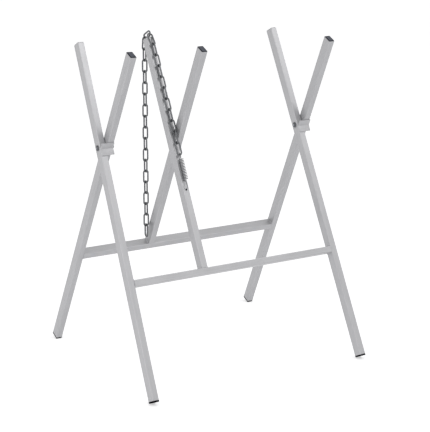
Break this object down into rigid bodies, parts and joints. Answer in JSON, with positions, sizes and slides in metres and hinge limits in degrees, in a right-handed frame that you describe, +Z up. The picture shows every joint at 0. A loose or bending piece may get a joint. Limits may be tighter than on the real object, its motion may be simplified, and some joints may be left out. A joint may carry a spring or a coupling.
{
  "type": "log sawhorse",
  "caption": "Folding sawhorse of steel tube with crossed arms that cradle a log, and a spring-loaded chain that holds the log down while it is sawn.",
  "frame": {"origin": "on the floor, below the middle of the open stand", "axes": "+X along the row of cradles, to the right-hand end; +Y to the back; +Z up"},
  "size_m": [0.776, 0.697, 0.9969],
  "materials": {
    "galvanised_steel": "satin, faintly streaked zinc",
    "zinc_plated": "bright zinc plate",
    "chain_steel": "mid grey zinc",
    "black_plastic": "matt moulded plastic"
  },
  "bodies": {
    "front_frame": {"front_left_leg": "galvanised_steel", "front_right_leg": "galvanised_steel", "front_post": "galvanised_steel", "front_rail": "galvanised_steel", "front_left_top_plug": "black_plastic", "front_post_top_plug": "black_plastic", "front_right_top_plug": "black_plastic", "front_left_foot": "black_plastic", "front_right_foot": "black_plastic", "left_stop_bracket": "galvanised_steel", "right_stop_bracket": "galvanised_steel", "pivot_bolts": "zinc_plated", "pivot_spacers": "black_plastic", "nut_washers": "zinc_plated", "lock_nuts": "zinc_plated", "tension_spring": "chain_steel", "chain_run": "chain_steel", "front_welds": "galvanised_steel", "bracket_welds": "galvanised_steel"},
    "rear_frame": {"rear_left_leg": "galvanised_steel", "rear_right_leg": "galvanised_steel", "rear_post": "galvanised_steel", "rear_rail": "galvanised_steel", "rear_left_top_plug": "black_plastic", "rear_post_top_plug": "black_plastic", "rear_right_top_plug": "black_plastic", "rear_left_foot": "black_plastic", "rear_right_foot": "black_plastic", "chain_catch": "galvanised_steel", "rear_welds": "galvanised_steel", "catch_welds": "galvanised_steel"},
    "chain_end": {"chain_tail": "chain_steel"}
  },
  "joints": [
    {"name": "fold", "type": "hinge", "parent": "front_frame", "child": "rear_frame", "pos_m": [0, 0, 0.6832], "axis": [-1, 0, 0], "range_deg": [0, 48]},
    {"name": "chain_swing", "type": "hinge", "parent": "front_frame", "child": "chain_end", "pos_m": [-0.1205, 0.16202, 0.93417], "axis": [1, 0, 0], "range_deg": [-25, 60]}
  ]
}
